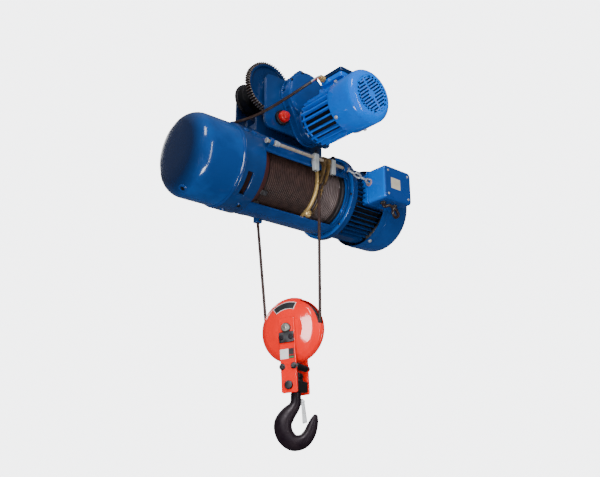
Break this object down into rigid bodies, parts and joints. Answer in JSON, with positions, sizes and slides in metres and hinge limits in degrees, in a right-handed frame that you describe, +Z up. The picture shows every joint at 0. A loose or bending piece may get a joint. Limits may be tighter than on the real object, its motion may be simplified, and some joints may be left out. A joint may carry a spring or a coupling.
{
  "type": "electric wire rope hoist",
  "caption": "Motor-driven wire rope hoist under a flange-running beam trolley, with a sheaved hook block and swivel safety hook.",
  "frame": {"origin": "where the near left wheel's tread rests on the runway beam's lower flange", "axes": "+Z up; +X along the beam and the drum towards the lifting motor; the trolley's own drive is on the -Y side, and the beam's mid plane is at y = 0.027"},
  "size_m": [0.833, 0.506, 1.1476],
  "materials": {
    "body_blue": "deep gloss blue enamel",
    "bright_blue": "azure gloss enamel",
    "block_red": "red-orange gloss enamel",
    "oxide_red": "matt red oxide primer",
    "forged_dark": "near-black forged and oiled steel",
    "steel": "machined steel",
    "cast": "bare casting",
    "rope": "greased dark-brown wire rope",
    "brass": "bright brass",
    "zinc": "zinc plated"
  },
  "bodies": {
    "frame": {"drum_shell": "body_blue", "gearbox_case": "body_blue", "gearbox_cover": "body_blue", "bearing_plate": "cast", "motor_flange": "body_blue", "motor_frame": "body_blue", "stator": "cast", "fan_cover": "body_blue", "near_side_plate": "body_blue", "far_side_plate": "body_blue", "cross_shaft_left": "oxide_red", "cross_shaft_right": "oxide_red", "trolley_gear_case": "body_blue", "trolley_gear_cover": "body_blue", "trolley_motor_frame": "bright_blue", "trolley_fan_cover": "bright_blue", "terminal_box": "bright_blue", "limit_switch_box": "bright_blue", "rope_anchor": "body_blue"},
    "drum": {"drum": "oxide_red", "wound_rope": "rope", "output_shaft": "steel", "output_gear": "steel", "drum_bearing": "steel"},
    "motor_shaft": {"middle_shaft": "steel", "coupling": "steel", "rotor": "steel", "brake_fan": "cast"},
    "first_countershaft": {"first_gear": "steel", "first_pinion_shaft": "steel"},
    "second_countershaft": {"second_gear": "steel", "second_pinion_shaft": "steel"},
    "rope_guide": {"rope_guide": "brass"},
    "limit_rod": {"limit_rod": "brass", "stop_collar_left": "zinc", "stop_collar_right": "zinc", "limit_chain": "zinc"},
    "wheel_near_left": {"wheel_near_left": "cast"},
    "wheel_near_right": {"wheel_near_right": "cast"},
    "wheel_far_left": {"wheel_far_left": "cast"},
    "wheel_far_right": {"wheel_far_right": "cast"},
    "trolley_rotor": {"trolley_rotor": "steel"},
    "trolley_idler": {"trolley_idler": "steel"},
    "trolley_drive": {"trolley_drive_shaft": "steel"},
    "hook_block": {"block_cover_front": "block_red", "block_cover_back": "block_red", "block_plate_front": "block_red", "block_plate_back": "block_red", "sheave_axle": "forged_dark", "axle_keeper": "forged_dark", "spacer_bolt_left": "forged_dark", "spacer_bolt_right": "forged_dark", "rope_falls": "rope"},
    "sheave": {"sheave": "cast"},
    "crosshead": {"crosshead": "forged_dark", "thrust_bearing": "steel"},
    "hook": {"hook": "forged_dark", "hook_nut": "forged_dark"},
    "hook_latch": {"hook_latch": "zinc"}
  },
  "joints": [
    {"name": "hook_lift", "type": "slide", "parent": "frame", "child": "hook_block", "axis": [0, 0, 1], "range_m": [-0.7, 0.18], "deforming": ["rope_falls"]},
    {"name": "drum_spin", "type": "hinge", "parent": "frame", "child": "drum", "pos_m": [0.104, 0.027, -0.228], "axis": [1, 0, 0], "continuous": true},
    {"name": "second_countershaft_spin", "type": "hinge", "parent": "frame", "child": "second_countershaft", "pos_m": [0.104, -0.003, -0.17604], "axis": [1, 0, 0], "continuous": true},
    {"name": "first_countershaft_spin", "type": "hinge", "parent": "frame", "child": "first_countershaft", "pos_m": [0.104, 0.057, -0.17604], "axis": [1, 0, 0], "continuous": true},
    {"name": "motor_spin", "type": "hinge", "parent": "frame", "child": "motor_shaft", "pos_m": [0.104, 0.027, -0.228], "axis": [1, 0, 0], "continuous": true},
    {"name": "rope_guide_slide", "type": "slide", "parent": "hook_block", "child": "rope_guide", "axis": [0.0217, 0, -0.9998], "range_m": [-0.71, 0.19]},
    {"name": "sheave_spin", "type": "hinge", "parent": "hook_block", "child": "sheave", "pos_m": [0.13265, 0.00809, -0.685], "axis": [-0.9063, -0.4226, 0], "continuous": true},
    {"name": "limit_rod_slide", "type": "slide", "parent": "frame", "child": "limit_rod", "axis": [1, 0, 0], "range_m": [-0.006, 0.006]},
    {"name": "crosshead_tilt", "type": "hinge", "parent": "hook_block", "child": "crosshead", "pos_m": [0.13669, -0.00056, -0.84572], "axis": [0.9063, 0.4226, 0], "range_deg": [-12, 12]},
    {"name": "hook_swivel", "type": "hinge", "parent": "crosshead", "child": "hook", "pos_m": [0.13669, -0.00056, -0.84572], "axis": [0, 0, 1], "continuous": true},
    {"name": "latch_hinge", "type": "hinge", "parent": "hook", "child": "hook_latch", "pos_m": [0.15124, -0.01277, -0.88972], "axis": [-0.6428, -0.766, 0], "range_deg": [-25, 1]},
    {"name": "wheel_near_left_spin", "type": "hinge", "parent": "frame", "child": "wheel_near_left", "pos_m": [0, 0.027, 0.047], "axis": [0, 1, 0], "continuous": true},
    {"name": "wheel_near_right_spin", "type": "hinge", "parent": "frame", "child": "wheel_near_right", "pos_m": [0.208, 0.027, 0.047], "axis": [0, 1, 0], "continuous": true},
    {"name": "wheel_far_left_spin", "type": "hinge", "parent": "frame", "child": "wheel_far_left", "pos_m": [0, 0.027, 0.047], "axis": [0, 1, 0], "continuous": true},
    {"name": "wheel_far_right_spin", "type": "hinge", "parent": "frame", "child": "wheel_far_right", "pos_m": [0.208, 0.027, 0.047], "axis": [0, 1, 0], "continuous": true},
    {"name": "trolley_drive_spin", "type": "hinge", "parent": "frame", "child": "trolley_drive", "pos_m": [0.104, 0.027, 0.047], "axis": [0, 1, 0], "continuous": true},
    {"name": "trolley_idler_spin", "type": "hinge", "parent": "frame", "child": "trolley_idler", "pos_m": [0.1183, 0.027, -0.0117], "axis": [0, 1, 0], "continuous": true},
    {"name": "trolley_motor_spin", "type": "hinge", "parent": "frame", "child": "trolley_rotor", "pos_m": [0.1308, 0.027, -0.0622], "axis": [0, 1, 0], "continuous": true}
  ],
  "couplings": [
    {"joint": "drum_spin", "follows": "hook_lift", "rad_per_m": -20.65},
    {"joint": "second_countershaft_spin", "follows": "hook_lift", "rad_per_m": 61.951},
    {"joint": "first_countershaft_spin", "follows": "hook_lift", "rad_per_m": -235.42},
    {"joint": "motor_spin", "follows": "hook_lift", "rad_per_m": 1177.1},
    {"joint": "rope_guide_slide", "follows": "hook_lift", "ratio": 1.0002},
    {"joint": "sheave_spin", "follows": "hook_lift", "rad_per_m": 11.628},
    {"joint": "wheel_near_right_spin", "follows": "wheel_near_left_spin", "ratio": 1},
    {"joint": "wheel_far_left_spin", "follows": "wheel_near_left_spin", "ratio": 1},
    {"joint": "wheel_far_right_spin", "follows": "wheel_near_left_spin", "ratio": 1},
    {"joint": "trolley_drive_spin", "follows": "wheel_near_left_spin", "ratio": -3.3333},
    {"joint": "trolley_idler_spin", "follows": "wheel_near_left_spin", "ratio": 7.7778},
    {"joint": "trolley_motor_spin", "follows": "wheel_near_left_spin", "ratio": -19.444}
  ]
}
